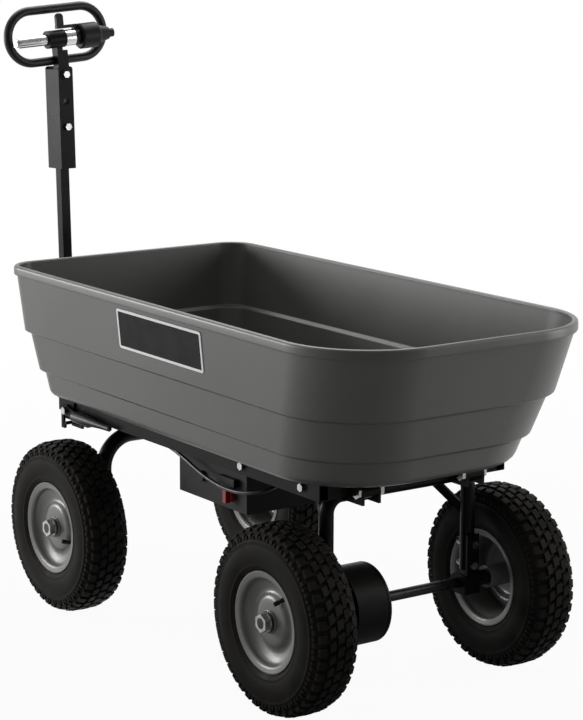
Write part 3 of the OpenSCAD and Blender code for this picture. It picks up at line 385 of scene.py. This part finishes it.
def wall_inset(wall, h):
    upper, lower = DRAFT[wall]
    drawn_in = upper * (wall_top - max(upper_band, min(h, wall_top)))
    drawn_in += lower * (upper_band - min(h, upper_band))
    return drawn_in + LEDGE[wall] * steps_above(h)


def half_width(h, y):
    return tail_half - LIP_OUT - wall_inset("side", h) - (tub_high.y - y) * slant


print("tub", [round(v / MM) for v in tub_high - tub_low], "mm")


# %% Stack the tub's sections
def tub_section(bm, h, grow, z):
    front = tub_low.y + LIP_OUT + wall_inset("front", h) - grow
    rear = tub_high.y - LIP_OUT - wall_inset("rear", h) + grow
    return flared_section(bm, half_width(h, front) + grow, half_width(h, rear) + grow, front, rear,
                          FRONT_R - LIP_OUT + grow, REAR_R - LIP_OUT + grow, tub_low.z + z)


step_levels = [foot + STEP_RISE * t for foot in STEPS for t in (0, 0.1, 0.25, 0.5, 0.75, 0.9, 1)]
lip_bead = [(2.4, 3.6), (4.9, 4.2), (5.8, 5.4), (6, 7), (6, 16.4), (5.5, 18.8), (4.3, 20.6), (2.6, 21.6),
            (0.4, 22), (-2.2, 21.7), (-4, 20.9), (-4.8, 19.4), (-5, 17.4), (-5, 14)]
foot_turns = [math.radians(90 * i / FOOT_SEGMENTS) for i in range(FOOT_SEGMENTS + 1)]
foot_round = [(FOOT_R * (1 - math.cos(a)), FOOT_R * (math.sin(a) - 1)) for a in foot_turns]
levels = [(rise, grow, rise) for rise, grow in foot_round]
levels += [(h, 0, h) for h in step_levels] + [(wall_top, 0, wall_top + LIP_TUCK)]
levels += [(tub_depth, out * MM, wall_top + rise * MM) for out, rise in lip_bead]
levels += [(h, -WALL, h) for h in reversed(step_levels)]
levels += [(rise, grow - WALL, rise + WALL) for rise, grow in reversed(foot_round)]

tub_bm = bmesh.new()
rings = []
for index, tub_level in enumerate(levels):
    face, ring = tub_section(tub_bm, *tub_level)
    rings.append(ring)
    if 0 < index < len(levels) - 1:
        bmesh.ops.delete(tub_bm, geom=[face], context="FACES_ONLY")
for lower, upper in zip(rings, rings[1:]):
    bmesh.ops.bridge_loops(tub_bm, edges=lower + upper)
bmesh.ops.recalc_face_normals(tub_bm, faces=tub_bm.faces)
tub_shell = place_piece("tub_shell", tub_bm, "tub", "tub_poly", "tub", sharp=math.radians(50))
tub_shell.modifiers.new("even shading", "WEIGHTED_NORMAL").keep_sharp = True

# %% [markdown]
# ## Tyres
# Each tyre is a carcass with a round sidewall and a raised guard ring, five rows of tread blocks, and
# short bars down both shoulders. The carcass is a profile spun about the axle. A block is a bevelled,
# sheared cube with few faces, made once for its row and then copied round the tread.


# %% Helpers for turned shapes
def arc_points(a, b, c, count):
    (ax, ay), (bx, by), (cx, cy) = a, b, c
    d = 2 * (ax * (by - cy) + bx * (cy - ay) + cx * (ay - by))
    a2, b2, c2 = (ax * ax + ay * ay, bx * bx + by * by, cx * cx + cy * cy)
    ux = (a2 * (by - cy) + b2 * (cy - ay) + c2 * (ay - by)) / d
    uy = (a2 * (cx - bx) + b2 * (ax - cx) + c2 * (bx - ax)) / d
    radius = math.hypot(ax - ux, ay - uy)
    start, end = math.atan2(ay - uy, ax - ux), math.atan2(cy - uy, cx - ux)
    turns = [start + (end - start) * i / count for i in range(count + 1)]
    return [(ux + radius * math.cos(t), uy + radius * math.sin(t)) for t in turns]


def spin_profile(bm, points, closed, steps=96):
    verts = [bm.verts.new((x * MM, 0, r * MM)) for r, x in points]
    edges = [bm.edges.new(pair) for pair in zip(verts, verts[1:] + verts[:1] if closed else verts[1:])]
    bmesh.ops.spin(bm, geom=verts + edges, cent=(0, 0, 0), axis=(1, 0, 0), dvec=(0, 0, 0),
                   angle=2 * math.pi, steps=steps, use_merge=True, use_duplicate=False)
    bmesh.ops.remove_doubles(bm, verts=bm.verts, dist=1e-6)
    bmesh.ops.recalc_face_normals(bm, faces=bm.faces)


def mirrored(points):
    return [(r, -x) for r, x in reversed(points)]


def turn_about(bm, verts, angle, axis):
    bmesh.ops.rotate(bm, verts=verts, cent=(0, 0, 0), matrix=Matrix.Rotation(angle, 3, axis))


def copy_round(bm, verts, count):
    geom = list({f for v in verts for f in v.link_faces})
    for index in range(1, count):
        made = bmesh.ops.duplicate(bm, geom=geom)["geom"]
        new_verts = [g for g in made if isinstance(g, bmesh.types.BMVert)]
        turn_about(bm, new_verts, 2 * math.pi * index / count, "X")


def block_row(bm, side, span, radii, half, phase, count, shear=0.0, edge=1.0, top_fall=0.0):
    x0, x1 = sorted((span[0] * side, span[1] * side))
    r0, r1 = radii
    verts = bmesh.ops.create_cube(bm, size=1)["verts"]
    bmesh.ops.scale(bm, verts=verts, vec=((x1 - x0) * MM, 2 * half * MM, (r1 - r0) * MM))
    bmesh.ops.translate(bm, verts=verts, vec=((x0 + x1) / 2 * MM, 0, (r0 + r1) / 2 * MM))
    outboard = [v for v in verts if v.co.x * side > (x0 + x1) / 2 * MM * side]
    bmesh.ops.translate(bm, verts=outboard, vec=(0, shear * MM, 0))
    shoulder = [v for v in outboard if v.co.z > (r0 + r1) / 2 * MM]
    bmesh.ops.translate(bm, verts=shoulder, vec=(0, 0, -top_fall * MM))
    edges = list({e for v in verts for e in v.link_edges})
    made = bmesh.ops.bevel(bm, geom=edges, offset=edge * MM, offset_type="OFFSET", segments=1, profile=0.5,
                           affect="EDGES", material=-1, clamp_overlap=True)
    verts = list({v for f in made["faces"] for v in f.verts})
    turn_about(bm, verts, 2 * math.pi * phase / count, "X")
    copy_round(bm, verts, count)


print("lathe and tread helpers ready")

# %% Shape one tyre
TYRE_R, BEAD_R, CROWN_R, FLANGE_X, HALF_W, RIM_R = 165, 77, 159, 37, 46.5, 88
LUGS = 44
RIDGES = ((97, 1.8, 0.9), (137, 2.0, 1.6))


def sidewall():
    shaped = []
    for r, x in arc_points((RIM_R + 3, FLANGE_X + 3), (120, HALF_W), (CROWN_R - 11, HALF_W - 7), 26):
        ridge = sum(depth * math.exp(-((r - at) / width) ** 2) for at, width, depth in RIDGES)
        shaped.append((r, min(x + ridge, HALF_W + 0.9)))
    bead = [(BEAD_R, FLANGE_X - 4), (BEAD_R + 2, FLANGE_X - 1.1), (RIM_R, FLANGE_X + 0.2)]
    return bead + shaped + [(CROWN_R - 3, HALF_W - 15), (CROWN_R, HALF_W - 26)]


tyre_bm = bmesh.new()
wall = sidewall()
liner = [(BEAD_R, FLANGE_X - 13), (100, HALF_W - 8), (CROWN_R - 8, HALF_W - 18)]
spin_profile(tyre_bm, wall + mirrored(wall) + [(r, -x) for r, x in liner] + list(reversed(liner)), True)
pitch = 2 * math.pi * TYRE_R / LUGS
block_row(tyre_bm, 1, (-7, 7), (151, TYRE_R), 0.36 * pitch, 0, LUGS, shear=4)
for side in (1, -1):
    block_row(tyre_bm, side, (9.5, 22), (151, TYRE_R - 0.6), 0.35 * pitch, 0.5, LUGS, shear=4 * side)
    block_row(tyre_bm, side, (24.5, 37.5), (146, 162), 0.32 * pitch, 0, LUGS, top_fall=3.4)
    block_row(tyre_bm, side, (33, 43.2), (140.5, 156), 0.17 * pitch, 0.5, LUGS, edge=0.6, top_fall=7)
    block_row(tyre_bm, side, (36, 43.8), (140.5, 150), 0.12 * pitch, 0, LUGS, edge=0.5, top_fall=3)
print("tyre", len(tyre_bm.faces), "faces")

# %% Put a tyre on each wheel
WHEELS = ("fl", "fr", "rl", "rr")
TURN_APART = math.radians(10)
wheel_centre = {w: middle("rim_" + w) for w in WHEELS}
for index, w in enumerate(WHEELS):
    bm = tyre_bm.copy()
    turn_about(bm, bm.verts, TURN_APART * index, "X")
    bmesh.ops.translate(bm, verts=bm.verts, vec=wheel_centre[w])
    place_piece("tyre_" + w + "_treaded", bm, "wheel_" + w, "tyre_black", "tyre_" + w,
                sharp=math.radians(32))
tyre_bm.free()

# %% [markdown]
# ## Rims
# A rim is pressed from steel sheet: a flange, a bead seat, a dropped well and a dished disc on a hub
# tube. All of it is round, so the whole section is one closed profile that is spun. The bends of the
# sheet are short arcs, which give the bright lines that run round a painted rim.

# %% Spin the rims
HUB_R, HUB_HALF, SEAT_R, SHEET = 20, 32, 16.1, 3.2
flange = [(77, 33.4), (78, 35.6), (81, 36.3), (86.6, 37.2), (88, 38.2), (87.6, 39.9), (86.2, 40.2),
          (84.6, 39.6), (80.4, 38.9), (77, 37.9), (75, 36), (74.4, 33)]
disc = [(HUB_R, 28.6), (30, 28.2)]
disc += arc_points((38, 27.4), (43, 25.4), (47, 21.8), 6)
disc += arc_points((49.5, 20.3), (53, 19.4), (57, 19.8), 5)
disc += [(63, 21.8), (68.5, 24.4)]
disc_back = [(r, x - SHEET) for r, x in reversed(disc)]
barrel = [(71.2, 26.2), (73.2, 28.2), (74.2, 30.6)]
well = [(77, 19.6), (75.8, 17.6), (71.2, 13.8), (70, 12.6)]
section = [(SEAT_R, HUB_HALF), (HUB_R - 0.8, HUB_HALF), (HUB_R, HUB_HALF - 0.8)] + disc + barrel
section += list(reversed(flange)) + well + mirrored(well) + mirrored(list(reversed(flange)))
section += mirrored(barrel) + [(68, -14), (67, 15)] + disc_back
section += [(HUB_R, 0.8 - HUB_HALF), (HUB_R - 0.8, -HUB_HALF), (SEAT_R, -HUB_HALF)]


def set_on_wheel(bm, w):
    if wheel_centre[w].x < 0:
        turn_about(bm, bm.verts, math.pi, "Z")
    bmesh.ops.translate(bm, verts=bm.verts, vec=wheel_centre[w])


for w in WHEELS:
    bm = bmesh.new()
    spin_profile(bm, section, True)
    set_on_wheel(bm, w)
    place_piece("rim_" + w + "_pressed", bm, "wheel_" + w, "rim_grey", "rim_" + w, sharp=math.radians(48))

# %% [markdown]
# ## Valve stems
# A short rubber valve stands out of each rim near the well. Its silhouette is a lathe shape, so a small
# profile is spun and then set on the rim's disc, leaning a little inwards.

# %% Set the valves
STEM = [(0, -4), (5.2, -4), (5.4, 0), (4.2, 3), (3.9, 13), (3.0, 14), (3.0, 15), (4.1, 15.4), (4.1, 24),
        (3.2, 25), (0, 25)]
STEM_LEAN, STEM_R, STEM_X = math.radians(28), 58 * MM, 17 * MM
VALVE_TURN = {"fl": -112, "fr": -60, "rl": -35, "rr": 40}
for w, turn in VALVE_TURN.items():
    bm = bmesh.new()
    spin_profile(bm, STEM, False, steps=20)
    turn_about(bm, bm.verts, STEM_LEAN, "Y")
    bmesh.ops.translate(bm, verts=bm.verts, vec=(STEM_X, 0, STEM_R))
    turn_about(bm, bm.verts, math.radians(turn), "X")
    set_on_wheel(bm, w)
    place_piece("valve_" + w, bm, "wheel_" + w, "black_plastic")

# %% [markdown]
# ## Motor drum
# The motor's can is drawn steel with a rolled end: a bright ring runs round its right end, next to a
# shallow groove. It is a lathe shape again. Its bore steps from the axle's size to the drive sleeve's,
# as in the solid.

# %% Spin the motor drum
drum_low, drum_high = (Vector(c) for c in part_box("motor_housing"))
drum_r = (drum_high.z - drum_low.z) / 2 / MM
drum_l = (drum_high.x - drum_low.x) / MM
AXLE_BORE, SLEEVE_BORE, SLEEVE_DEPTH = 9.6, 14.5, 18
drum = [(AXLE_BORE, 2), (26, 2), (28, 0.6), (34, 0.6), (36, 2.2), (62, 2.2), (63.5, 0.8)]
drum += [(drum_r - 4.5, 0)] + arc_points((drum_r - 3, 0.1), (drum_r - 0.9, 0.9), (drum_r, 3), 5)
drum += [(drum_r, 6), (drum_r - 0.9, 6.6), (drum_r - 0.9, 8), (drum_r, 8.6), (drum_r, drum_l)]
drum += [(SLEEVE_BORE, drum_l), (SLEEVE_BORE, SLEEVE_DEPTH), (AXLE_BORE, SLEEVE_DEPTH)]
bm = bmesh.new()
spin_profile(bm, drum, True, steps=128)
drum_place = middle("motor_housing")
bmesh.ops.translate(bm, verts=bm.verts, vec=(drum_low.x, drum_place.y, drum_place.z))
place_piece("motor_can", bm, "chassis", "frame_black", "motor_housing")

# %% [markdown]
# ## Washer under the grip's bolt
# The bolt that the grip folds on has a broad black washer round its head. It is a small spun ring. The
# record's joint gives the bolt's place and line, so the washer is turned from the X axis onto that line.

# %% Fit the washer
fold = next(j for j in frame["record"]["behaviour"]["joints"] if j["name"] == "grip_fold")
bolt_line = Vector(fold["axis"]) * -1
HEAD_DEPTH = 27.2
washer = [(7.7, HEAD_DEPTH), (12, HEAD_DEPTH), (12.4, HEAD_DEPTH + 0.5), (12.2, HEAD_DEPTH + 1.6),
          (11.6, HEAD_DEPTH + 2), (8.2, HEAD_DEPTH + 2), (7.7, HEAD_DEPTH + 1.6)]
bm = bmesh.new()
spin_profile(bm, washer, True, steps=48)
onto_bolt = Vector((1, 0, 0)).rotation_difference(bolt_line).to_matrix()
bmesh.ops.rotate(bm, verts=bm.verts, cent=(0, 0, 0), matrix=onto_bolt)
bmesh.ops.translate(bm, verts=bm.verts, vec=fold["pos_m"])
place_piece("fold_washer", bm, "handle", "black_plastic")

# %% [markdown]
# ## The bare plate
# A bare plate with a pale border is fixed to the tub's left wall. It is a thin grid with rounded
# corners, inset once for the border and given a thickness, and it leans with the wall and follows its
# flare.

# %% Fix the plate
PLATE_W, PLATE_H, PLATE_T, PLATE_EDGE = 282 * MM, 73 * MM, 1.2 * MM, 4.8 * MM
PLATE_Y, PLATE_Z, PLATE_CORNER = SHIFT - 3.5 * MM, 594 * MM, 5 * MM
plate_white = finish_material("pale print", (0.92, 0.92, 0.91), (0.88, 0.88, 0.87), 0.5, cloud_scale=30)
plate_black = finish_material("black print", (0.010, 0.010, 0.010), (0.007, 0.007, 0.007), 0.6,
                              cloud_scale=30, Specular_IOR_Level=0.1)
bm = bmesh.new()
bmesh.ops.create_grid(bm, x_segments=1, y_segments=1, size=0.5)
bmesh.ops.scale(bm, verts=bm.verts, vec=(PLATE_W, PLATE_H, 1))
bmesh.ops.bevel(bm, geom=list(bm.verts), offset=PLATE_CORNER, offset_type="OFFSET", segments=5, profile=0.5,
                affect="VERTICES", material=-1, clamp_overlap=True)
border = bmesh.ops.inset_region(bm, faces=list(bm.faces), thickness=PLATE_EDGE, depth=0,
                                use_boundary=True, use_even_offset=True)["faces"]
for face in bm.faces:
    face.material_index = 0 if face in border else 1
raised = bmesh.ops.extrude_face_region(bm, geom=list(bm.faces))["geom"]
bmesh.ops.translate(bm, verts=[g for g in raised if isinstance(g, bmesh.types.BMVert)], vec=(0, 0, PLATE_T))
bmesh.ops.recalc_face_normals(bm, faces=bm.faces)
along = Vector((slant, 1, 0)).normalized()
uphill = Vector((DRAFT["side"][0], 0, 1)).normalized()
outward = along.cross(uphill).normalized()
turn = Matrix((along, outward.cross(along), outward)).transposed()
bmesh.ops.rotate(bm, verts=bm.verts, cent=(0, 0, 0), matrix=turn)
bmesh.ops.translate(bm, verts=bm.verts, vec=(half_width(PLATE_Z - tub_low.z, PLATE_Y), PLATE_Y, PLATE_Z))
place_piece("bare_plate", bm, "tub", "black_plastic", materials=(plate_white, plate_black))

# %% [markdown]
# ## Floor and light
# The photograph is a studio cut-out on white. A pale floor keeps a soft shadow, and where the camera
# looks straight at it or past it, it is nearly white. Polished parts see that white too, but only
# towards the backdrop: the side that the photographer stands on is dark, so the tub's near corner is the
# darkest. A large soft lamp stands on the left, a weaker one on the right, and one behind and above,
# which draws the bright line along the lip.

# %% White that fades to the dark side
BACKDROP = Vector((-0.3, -0.95, 0))
DARK_SIDE, LIGHT_SIDE = -0.9, 0.4


def seen_white(tree, direction):
    path = add_node(tree, "ShaderNodeLightPath")
    towards = add_node(tree, "ShaderNodeVectorMath", operation="DOT_PRODUCT")
    tree.links.new(direction, towards.inputs[0])
    towards.inputs[1].default_value = BACKDROP
    side = add_ramp(tree, towards.outputs["Value"], DARK_SIDE, LIGHT_SIDE)
    glossy, through = path.outputs["Is Glossy Ray"], path.outputs["Is Transmission Ray"]
    faded = add_math(tree, "MULTIPLY", add_math(tree, "MAXIMUM", glossy, through), side)
    return add_math(tree, "MAXIMUM", path.outputs["Is Camera Ray"], faded)


print("backdrop towards", [round(v, 2) for v in BACKDROP])

# %% Floor
NEAR_GLOW, FAR_GLOW = 0.95, 1.0
NEAR_R, FAR_R = 0.9, 3.0
FLOOR_SIZE, FLOOR_GREY = 30, (0.5, 0.5, 0.5, 1)
floor_mesh = bpy.data.meshes.new("floor")
bm = bmesh.new()
bmesh.ops.create_grid(bm, x_segments=1, y_segments=1, size=FLOOR_SIZE)
bm.to_mesh(floor_mesh)
bm.free()
floor = bpy.data.objects.new("floor", floor_mesh)
bpy.context.scene.collection.objects.link(floor)

floor_paint = bpy.data.materials.new("pale floor")
floor_paint.use_nodes = True
tree = floor_paint.node_tree
tree.nodes.remove(tree.nodes["Principled BSDF"])
matt = add_node(tree, "ShaderNodeBsdfDiffuse", Color=FLOOR_GREY)
glow = add_node(tree, "ShaderNodeEmission", Strength=1.0)
spot = add_node(tree, "ShaderNodeTexCoord").outputs["Object"]
outwards = add_node(tree, "ShaderNodeVectorMath", operation="NORMALIZE")
reach = add_node(tree, "ShaderNodeVectorMath", operation="LENGTH")
tree.links.new(spot, outwards.inputs[0])
tree.links.new(spot, reach.inputs[0])
fade = add_ramp(tree, reach.outputs["Value"], NEAR_R, FAR_R)
rise = add_math(tree, "MULTIPLY", fade, FAR_GLOW - NEAR_GLOW)
share = add_math(tree, "ADD", rise, NEAR_GLOW)
blend = add_node(tree, "ShaderNodeMixShader")
white = seen_white(tree, outwards.outputs["Vector"])
tree.links.new(add_math(tree, "MULTIPLY", white, share), blend.inputs[0])
tree.links.new(matt.outputs[0], blend.inputs[1])
tree.links.new(glow.outputs[0], blend.inputs[2])
tree.links.new(blend.outputs[0], tree.nodes["Material Output"].inputs["Surface"])
floor_mesh.materials.append(floor_paint)
print("floor laid")

# %% World
SIDE_AIR, TOP_AIR = 0.06, 0.4
world = bpy.data.worlds.new("studio")
world.use_nodes = True
bpy.context.scene.world = world
tree = world.node_tree
air = tree.nodes["Background"]
air.inputs["Color"].default_value = (1, 1, 1, 1)
sky = add_node(tree, "ShaderNodeTexCoord").outputs["Generated"]
skyward = add_node(tree, "ShaderNodeSeparateXYZ")
tree.links.new(sky, skyward.inputs[0])
overhead = add_math(tree, "MULTIPLY", add_ramp(tree, skyward.outputs["Z"], 0.1, 1.0), TOP_AIR - SIDE_AIR)
strength = add_math(tree, "MAXIMUM", seen_white(tree, sky), add_math(tree, "ADD", overhead, SIDE_AIR))
tree.links.new(strength, air.inputs["Strength"])
print("world light", SIDE_AIR, "to", TOP_AIR)


# %% Lamps
def soft_lamp(name, spot, target, size, power):
    data = bpy.data.lights.new(name, "AREA")
    data.shape = "RECTANGLE"
    data.size, data.size_y = size
    data.energy = power
    lamp = bpy.data.objects.new(name, data)
    lamp.location = spot
    lamp.rotation_euler = (Vector(target) - Vector(spot)).to_track_quat("-Z", "Y").to_euler()
    bpy.context.scene.collection.objects.link(lamp)
    print(name, power, "W")


soft_lamp("left softbox", (2.5, -2.9, 1.0), (0.1, -0.1, 0.45), (1.8, 1.2), 88)
soft_lamp("right softbox", (-2.0, 1.7, 1.0), (-0.1, 0.4, 0.5), (1.0, 1.6), 27)
soft_lamp("back softbox", (-0.6, -1.4, 2.9), (0, 0, 0.5), (2.6, 2.0), 62)
bpy.context.scene.view_settings.view_transform = "Standard"
